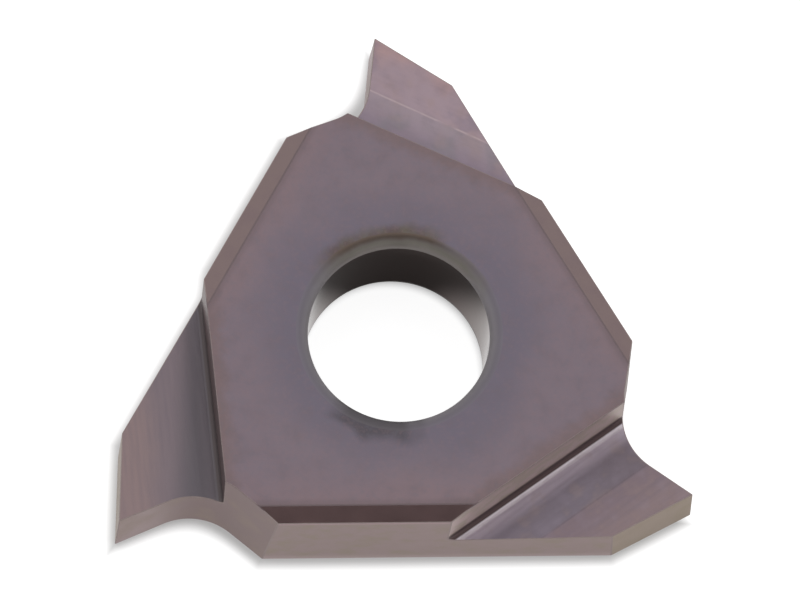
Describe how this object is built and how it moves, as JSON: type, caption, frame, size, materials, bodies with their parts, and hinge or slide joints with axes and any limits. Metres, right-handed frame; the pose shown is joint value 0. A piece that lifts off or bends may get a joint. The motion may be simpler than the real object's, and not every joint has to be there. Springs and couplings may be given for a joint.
{
  "type": "grooving insert",
  "caption": "Triangular grooving insert of coated carbide: a flat block with a clamping bore, and at each corner a hooked grooving tooth with a recessed side",
  "frame": {"origin": "on the axis of the clamping bore, at the seat face", "axes": "+Z along the bore axis, from the seat face to the top face with the tooth recesses; -Y square to side land 1, with the tooth that lies beside that land at its +X end"},
  "size_m": [0.014, 0.0129, 0.0032],
  "materials": {
    "coated_carbide": "satin"
  },
  "bodies": {
    "root": {"grooving_insert": "coated_carbide"}
  },
  "joints": []
}
